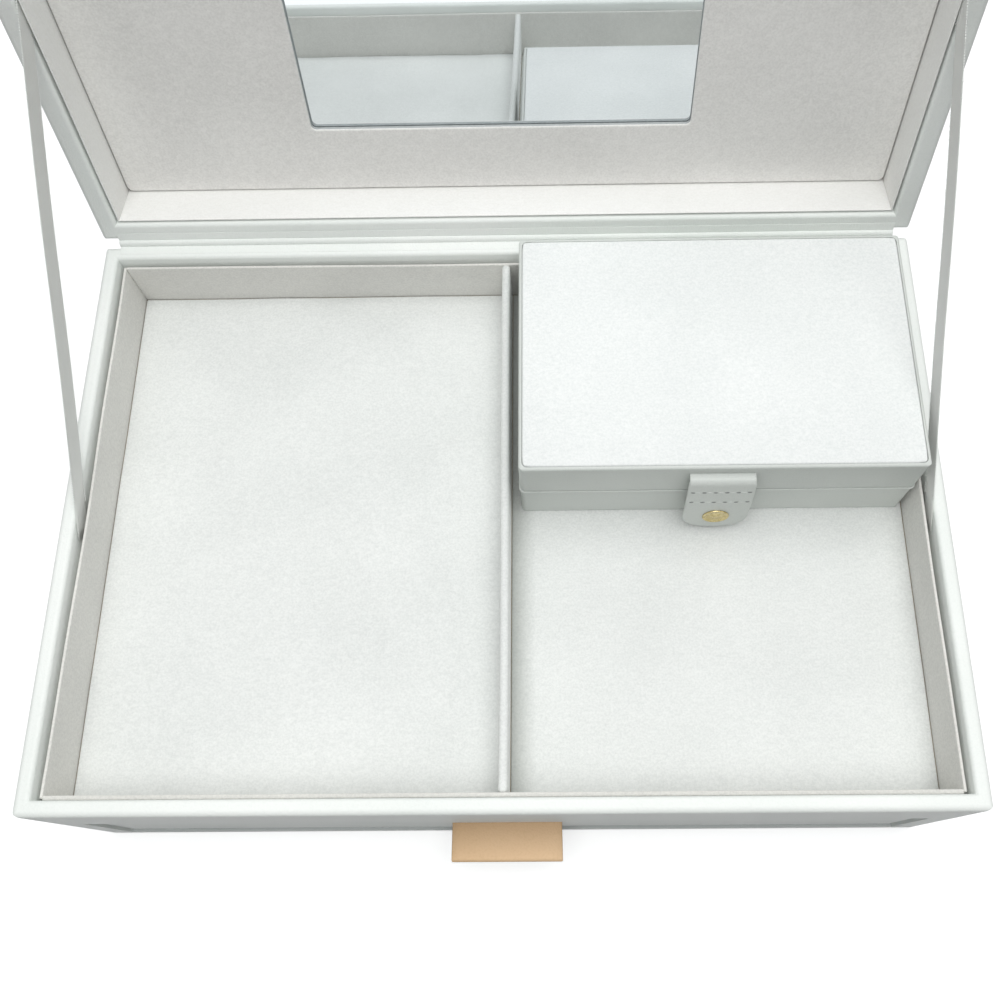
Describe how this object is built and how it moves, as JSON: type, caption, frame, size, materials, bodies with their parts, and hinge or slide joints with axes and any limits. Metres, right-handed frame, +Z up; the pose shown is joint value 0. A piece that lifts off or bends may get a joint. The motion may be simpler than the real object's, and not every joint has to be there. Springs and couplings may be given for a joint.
{
  "type": "vanity box with mirror",
  "caption": "Rigid wrapped vanity box: hinged lid with an inset mirror and ribbon stays, divided tray, drawer with a pull tab, and a lift-out travel case with a snap tab.",
  "frame": {"origin": "centre of the underside, on the table", "axes": "+X to the right seen from the front, +Y to the back where the hinge is, +Z up"},
  "size_m": [0.3, 0.2898, 0.2783],
  "materials": {
    "greyboard": "raw greyboard",
    "white_board": "paper-covered board",
    "leatherette": "white fine-grain leatherette, satin",
    "suede": "pale short-pile suede cloth",
    "felt": "white felt",
    "foam": "thin foam sheet",
    "ribbon": "woven satin ribbon",
    "mirror_glass": "silvered glass",
    "gold_leatherette": "peach-gold metallic leatherette",
    "pale_brass": "pale gold press stud"
  },
  "bodies": {
    "base": {"base_felt": "felt", "base_bottom_board": "greyboard", "base_left_board": "greyboard", "base_right_board": "greyboard", "base_back_board": "greyboard", "base_front_frame": "greyboard", "base_wrap": "leatherette", "drawer_bay_floor": "white_board", "drawer_guide_left": "white_board", "drawer_guide_right": "white_board", "tray_shelf": "greyboard", "tray_pad_left": "suede", "tray_pad_right": "suede", "tray_liner_left": "suede", "tray_liner_right": "suede", "tray_liner_front": "suede", "tray_liner_back": "suede", "tray_divider": "suede", "hinge_strip": "leatherette", "hinge_lining": "suede", "ribbon_left": "ribbon", "ribbon_right": "ribbon"},
    "lid": {"lid_left_board": "greyboard", "lid_right_board": "greyboard", "lid_front_board": "greyboard", "lid_back_board": "greyboard", "lid_top_board": "greyboard", "lid_foam": "foam", "lid_wrap": "leatherette", "lid_lining_left": "suede", "lid_lining_right": "suede", "lid_lining_front": "suede", "lid_lining_back": "suede", "mirror_panel": "suede", "mirror_glass": "mirror_glass", "mirror_spacer": "greyboard"},
    "drawer": {"drawer_front_board": "greyboard", "drawer_front_wrap": "leatherette", "drawer_bottom": "greyboard", "drawer_left_side": "white_board", "drawer_right_side": "white_board", "drawer_back": "white_board", "drawer_lining": "suede", "pull_tab": "gold_leatherette"},
    "travel_case": {"case_base_boards": "greyboard", "case_base_wrap": "leatherette", "case_base_lining": "suede", "case_stud": "pale_brass", "case_hinge_strip": "leatherette"},
    "case_lid": {"case_lid_boards": "greyboard", "case_lid_wrap": "leatherette", "case_lid_lining": "suede", "case_top_panel": "suede"},
    "snap_tab": {"snap_tab": "leatherette", "snap_cap": "pale_brass", "snap_socket": "pale_brass"}
  },
  "joints": [
    {"name": "lid_hinge", "type": "hinge", "parent": "base", "child": "lid", "pos_m": [0, 0.104, 0.077], "axis": [-1, 0, 0], "range_deg": [-103, 0], "deforming": ["hinge_strip", "hinge_lining", "ribbon_left", "ribbon_right"]},
    {"name": "drawer_slide", "type": "slide", "parent": "base", "child": "drawer", "axis": [0, -1, 0], "range_m": [0, 0.15]},
    {"name": "case_lift", "type": "slide", "parent": "base", "child": "travel_case", "axis": [0, 0, 1], "range_m": [0, 0.06]},
    {"name": "case_lid_hinge", "type": "hinge", "parent": "travel_case", "child": "case_lid", "pos_m": [0.0736, 0.0945, 0.0707], "axis": [-1, 0, 0], "range_deg": [0, 35], "deforming": ["case_hinge_strip"]},
    {"name": "snap_tab_hinge", "type": "hinge", "parent": "case_lid", "child": "snap_tab", "pos_m": [0.0736, 0.0035, 0.0845], "axis": [-1, 0, 0], "range_deg": [-7, 90]}
  ]
}
